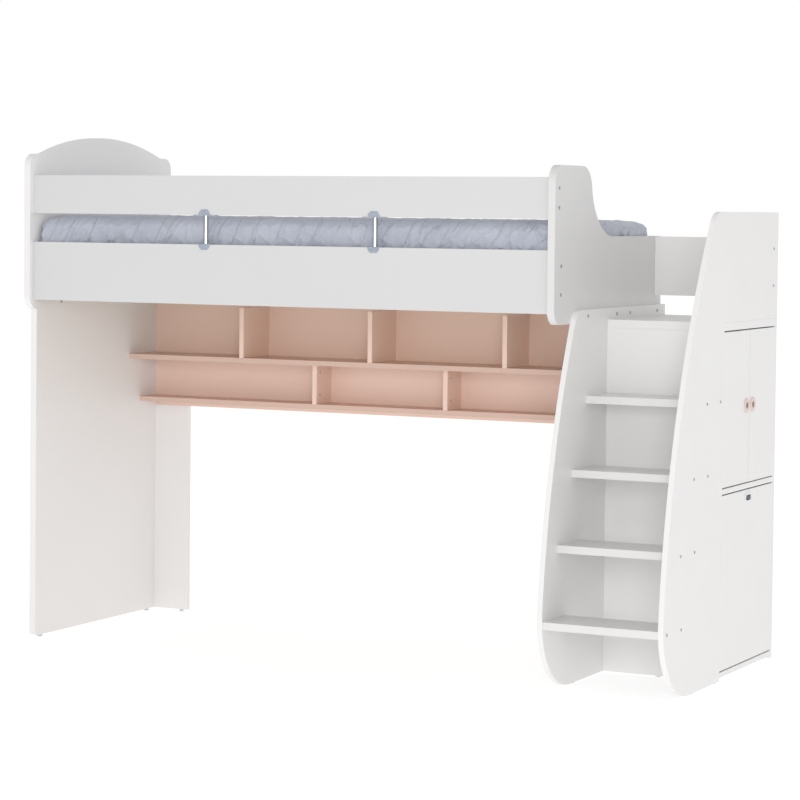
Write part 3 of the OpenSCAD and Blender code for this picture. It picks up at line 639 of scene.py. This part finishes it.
for node, name, socket in (
    ("frame_bolts", "frame_bolt_set", "hex"),
    ("step_panel_bolts", "step_bolt_set", "hex"),
    ("tread_screws", "tread_screw_set", "hex"),
    ("shelf_screws", "shelf_screw_set", "hex"),
    ("landing_guard_screws", "landing_screw_set", "hex"),
    ("divider_cams", "divider_cam_set", "cross"),
    ("headboard_cams", "headboard_cam_set", "cross"),
):
    set_heads(node, name, socket)
dress("shelf_pins", zinc)
for node in ("hinge_arms", "front_door_cups", "rear_door_cups", "flap_cups"):
    dress(node, zinc)
    break_edges(node, HINGE_ROUND)

# ---- Pulls --------------------------------------------------------------
# Each upper door has a flat ring pull in pale pink lacquer round a brown
# moulded cup; the flap has a white oval rim round a grey cup. The glides and
# the door catches are moulded too.
MOULDING_ROUND = 0.0005


def lacquer(name, tint, shade, rough, coat):
    """Sprayed lacquer: slight orange peel under a thin clear coat."""
    mat = bpy.data.materials.new(name)
    tree, shader = nodes_of(mat)
    place = mapped(tree)
    cloud = noise_at(tree, place, scale=45.0)
    tree.links.new(ramp_of(tree, cloud, shade, tint), shader.inputs["Base Color"])
    peel = noise_at(tree, place, scale=600.0, detail=1.0)
    gloss = range_of(tree, peel, rough - 0.03, rough + 0.04)
    tree.links.new(gloss, shader.inputs["Roughness"])
    bump_into(tree, shader, peel, distance=0.00005, strength=0.4)
    shader.inputs["Coat Weight"].default_value = coat
    shader.inputs["Coat Roughness"].default_value = 0.12
    return mat


for nodes, name, tint, shade, rough, coat in (
    (("front_pull_ring", "rear_pull_ring"),
     "pale pink lacquer", (0.72, 0.57, 0.52), (0.68, 0.53, 0.485), 0.3, 0.3),
    (("front_pull_cup", "rear_pull_cup"),
     "brown moulding", (0.25, 0.17, 0.14), (0.20, 0.13, 0.11), 0.5, 0.0),
    (("flap_pull_rim",),
     "white lacquer", (0.82, 0.82, 0.83), (0.79, 0.79, 0.80), 0.28, 0.4),
    (("flap_pull_cup", "door_catches"),
     "grey moulding", (0.30, 0.305, 0.315), (0.25, 0.255, 0.265), 0.5, 0.0),
    (("low_glides", "tall_glides"),
     "white nylon", (0.60, 0.60, 0.61), (0.55, 0.55, 0.56), 0.5, 0.0),
):
    coating = lacquer(name, tint, shade, rough, coat)
    for node in nodes:
        dress(node, coating)
for node in ("flap_pull_rim", "door_catches", "low_glides", "tall_glides"):
    break_edges(node, MOULDING_ROUND)

# ---- Floor, light and camera --------------------------------------------
# A plain white studio floor that glows a little, a bright even surround and
# one large soft panel light in front.
FLOOR_GLOW = 0.60
SURROUND = 0.72  # what lights the object
SEEN_SURROUND = 1.0  # what the camera sees behind it

bpy.ops.object.select_all(action="DESELECT")
bpy.ops.mesh.primitive_plane_add(size=240, location=(0, 0, 0))
floor = bpy.context.object
floor.name = "studio_floor"
paper = bpy.data.materials.new("white paper floor")
tree, shader = nodes_of(paper)
place = mapped(tree)
fibre = noise_at(tree, place, scale=3.0, detail=4.0)
mottle = ramp_of(tree, fibre, (0.59, 0.59, 0.59), (0.61, 0.61, 0.61))
tree.links.new(mottle, shader.inputs["Base Color"])
shader.inputs["Roughness"].default_value = 0.8
shader.inputs["Emission Color"].default_value = (1, 1, 1, 1)
shader.inputs["Emission Strength"].default_value = FLOOR_GLOW
floor.data.materials.append(paper)

world = bpy.data.worlds.new("white surround")
world.use_nodes = True
sky = world.node_tree
lit = sky.nodes["Background"]
lit.inputs["Color"].default_value = (1.0, 1.0, 1.0, 1)
lit.inputs["Strength"].default_value = SURROUND
seen = sky.nodes.new("ShaderNodeBackground")
seen.inputs["Color"].default_value = (1.0, 1.0, 1.0, 1)
seen.inputs["Strength"].default_value = SEEN_SURROUND
ray = sky.nodes.new("ShaderNodeLightPath")
both = sky.nodes.new("ShaderNodeMixShader")
sky.links.new(ray.outputs["Is Camera Ray"], both.inputs["Fac"])
sky.links.new(lit.outputs["Background"], both.inputs[1])
sky.links.new(seen.outputs["Background"], both.inputs[2])
sky.links.new(both.outputs["Shader"], sky.nodes["World Output"].inputs["Surface"])
bpy.context.scene.world = world


def panel_light(name, place, aim, size, power):
    """A square soft panel aimed at a point."""
    data = bpy.data.lights.new(name, "AREA")
    data.size = size
    data.energy = power
    light = bpy.data.objects.new(name, data)
    light.location = place
    light.rotation_euler = (Vector(aim) - Vector(place)).to_track_quat("-Z", "Y").to_euler()
    bpy.context.collection.objects.link(light)


panel_light(
    "front panel", place=(4.3, -8.9, 2.0), aim=(0.3, 0.0, 0.9), size=3.0, power=235)

YAW = 0.474483003
PITCH = 0.0411929
ROLL = 0.00981556
STAND = (4.20458, -8.56036, 1.55835)
ahead = Vector((
    -math.sin(YAW) * math.cos(PITCH), math.cos(YAW) * math.cos(PITCH), -math.sin(PITCH)))
across = Vector((math.cos(YAW), math.sin(YAW), 0))
upward = across.cross(ahead)
right = math.cos(ROLL) * across + math.sin(ROLL) * upward
above = -math.sin(ROLL) * across + math.cos(ROLL) * upward
lens = bpy.data.cameras.new("studio camera")
lens.sensor_width = 36
lens.lens = 122.261
lens.shift_x = 0.0751
lens.shift_y = -0.0989
lens.clip_end = 400
camera = bpy.data.objects.new("studio camera", lens)
camera.matrix_world = Matrix((
    (right.x, above.x, -ahead.x, STAND[0]),
    (right.y, above.y, -ahead.y, STAND[1]),
    (right.z, above.z, -ahead.z, STAND[2]),
    (0, 0, 0, 1)))
bpy.context.collection.objects.link(camera)
bpy.context.scene.camera = camera
bpy.context.scene.view_settings.view_transform = "Standard"
